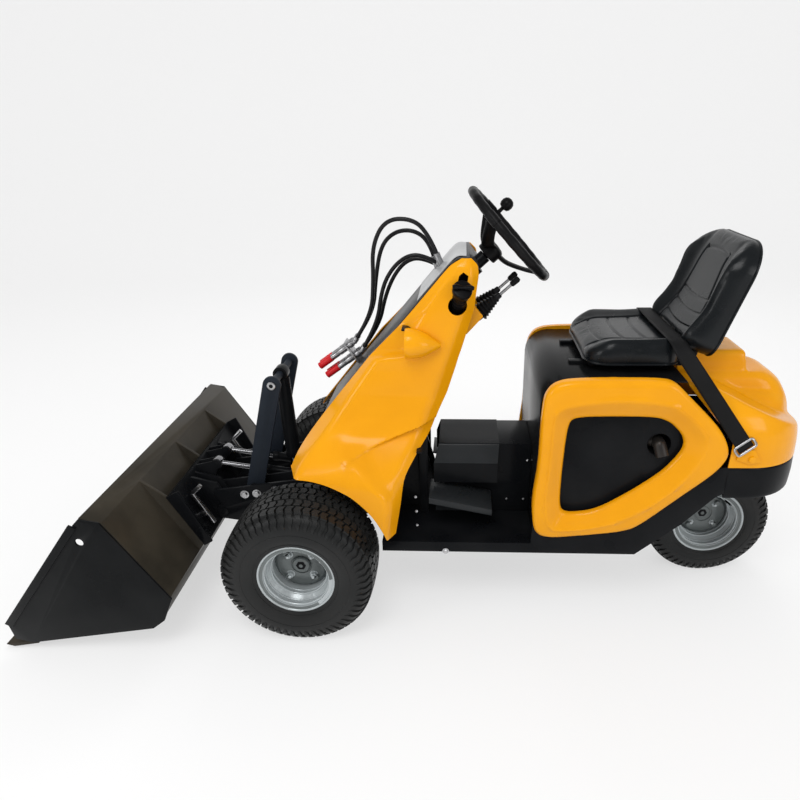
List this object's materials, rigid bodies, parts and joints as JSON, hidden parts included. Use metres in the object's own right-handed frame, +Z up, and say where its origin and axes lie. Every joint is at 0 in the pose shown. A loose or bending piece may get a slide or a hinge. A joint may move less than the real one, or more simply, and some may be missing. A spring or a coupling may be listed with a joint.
{
  "type": "mini wheel loader",
  "caption": "Ride-on three-wheeled mini loader with a front bucket on lift arms, sloping console, open engine bay and rear steered wheel.",
  "frame": {"origin": "on the ground, at the middle of the overall length and width, with the wheels on the ground at z = 0", "axes": "+X forward towards the bucket, +Y to the driver's left, +Z up"},
  "size_m": [2.4078, 1.054, 1.2706],
  "materials": {
    "tyre": "matt moulded rubber",
    "silver_paint": "satin silver paint",
    "black_paint": "semi-gloss black paint",
    "yellow_paint": "gloss yellow-orange paint",
    "grey_cover": "grained grey moulding",
    "lamp_lens": "clear ribbed lens over a bright bowl",
    "black_plastic": "fine-grained black moulding",
    "engine_iron": "rough cast",
    "steel": "zinc-plated steel",
    "seat_vinyl": "grained vinyl with piped edge",
    "blue_grey_paint": "satin blue-grey paint",
    "bucket_paint": "satin dark bronze-black paint",
    "chrome_rod": "hard chrome",
    "belt_webbing": "woven black webbing",
    "hose_rubber": "smooth black hydraulic hose",
    "red_plastic": "red moulded cap"
  },
  "bodies": {
    "chassis": {"main_frame": "black_paint", "rear_bumper": "black_paint", "steering_head": "black_paint", "wheel_motors": "black_paint", "console_frame": "black_paint", "slope_cover": "grey_cover", "cowl_left": "yellow_paint", "cowl_right": "yellow_paint", "work_lamps": "lamp_lens", "filler_cap": "black_plastic", "steering_column": "black_paint", "control_valve": "black_plastic", "centre_tunnel": "black_paint", "footrests": "black_paint", "engine_deck": "black_plastic", "side_panel_left": "yellow_paint", "side_panel_right": "yellow_paint", "inner_panels": "black_paint", "engine_block": "engine_iron", "exhaust_elbow": "steel", "rear_hood": "yellow_paint", "seat_base": "black_paint", "seat_cushion": "seat_vinyl", "seat_back": "seat_vinyl", "belt_anchors": "steel", "seat_belt": "belt_webbing", "hose_outer": "hose_rubber", "hose_inner": "hose_rubber", "hose_low": "hose_rubber", "hose_lowest": "hose_rubber", "hose_fittings": "steel", "hose_couplers": "steel", "coupler_caps": "red_plastic"},
    "front_wheel_left": {"front_rim_left": "silver_paint", "front_tyre_left": "tyre"},
    "front_wheel_right": {"front_rim_right": "silver_paint", "front_tyre_right": "tyre"},
    "rear_fork": {"steering_knuckle": "black_paint"},
    "rear_wheel": {"rear_rim": "silver_paint", "rear_tyre": "tyre"},
    "steering": {"steering_wheel": "black_plastic"},
    "boom": {"lift_arms": "black_paint", "uprights": "blue_grey_paint"},
    "tool": {"tool_coupler": "black_paint", "latch_pins": "steel", "bucket_shell": "bucket_paint", "bucket_sides": "bucket_paint", "cutting_edge": "bucket_paint"},
    "lift_barrel_body": {"lift_barrel": "black_paint"},
    "lift_rod_body": {"lift_rod": "chrome_rod"},
    "tilt_barrel_body": {"tilt_barrels": "black_paint"},
    "tilt_rod_body": {"tilt_rods": "chrome_rod"}
  },
  "joints": [
    {"name": "front_left_spin", "type": "hinge", "parent": "chassis", "child": "front_wheel_left", "pos_m": [0.30915, 0.363, 0.2285], "axis": [0, 1, 0], "continuous": true},
    {"name": "front_right_spin", "type": "hinge", "parent": "chassis", "child": "front_wheel_right", "pos_m": [0.30915, -0.363, 0.2285], "axis": [0, 1, 0], "continuous": true},
    {"name": "rear_steer", "type": "hinge", "parent": "chassis", "child": "rear_fork", "pos_m": [-1.00085, 0, 0.455], "axis": [0, 0, 1], "range_deg": [-40, 40]},
    {"name": "rear_spin", "type": "hinge", "parent": "rear_fork", "child": "rear_wheel", "pos_m": [-1.00085, 0, 0.203], "axis": [0, 1, 0], "continuous": true},
    {"name": "steering_turn", "type": "hinge", "parent": "chassis", "child": "steering", "pos_m": [-0.25409, 0, 1.08949], "axis": [-0.7431, 0, 0.6691], "range_deg": [-270, 270]},
    {"name": "boom_lift", "type": "hinge", "parent": "chassis", "child": "boom", "pos_m": [0.00915, 0, 0.52], "axis": [0, -1, 0], "range_deg": [0, 40]},
    {"name": "tool_tilt", "type": "hinge", "parent": "boom", "child": "tool", "pos_m": [0.61415, 0, 0.268], "axis": [0, 1, 0], "range_deg": [-25, 60]},
    {"name": "lift_barrel_swing", "type": "hinge", "parent": "boom", "child": "lift_barrel_body", "pos_m": [0.41615, 0, 0.705], "axis": [0, -1, 0], "range_deg": [-20.97, 0]},
    {"name": "lift_rod_slide", "type": "slide", "parent": "lift_barrel_body", "child": "lift_rod_body", "axis": [-0.0391, 0, -0.9992], "range_m": [0, 0.2471]},
    {"name": "tilt_barrel_swing", "type": "hinge", "parent": "boom", "child": "tilt_barrel_body", "pos_m": [0.27915, 0, 0.345], "axis": [0, -1, 0], "range_deg": [-12.67, 5.28]},
    {"name": "tilt_rod_slide", "type": "slide", "parent": "tilt_barrel_body", "child": "tilt_rod_body", "axis": [0.9894, 0, 0.1451], "range_m": [-0.0414, 0.0994]}
  ],
  "couplings": [
    {"joint": "steering_turn", "follows": "rear_steer", "ratio": -6.75},
    {"joint": "lift_barrel_swing", "follows": "boom_lift", "ratio": -0.52429},
    {"joint": "lift_rod_slide", "follows": "boom_lift", "m_per_rad": 0.35394},
    {"joint": "tilt_barrel_swing", "follows": "tool_tilt", "ratio": -0.21124},
    {"joint": "tilt_rod_slide", "follows": "tool_tilt", "m_per_rad": 0.094934}
  ]
}
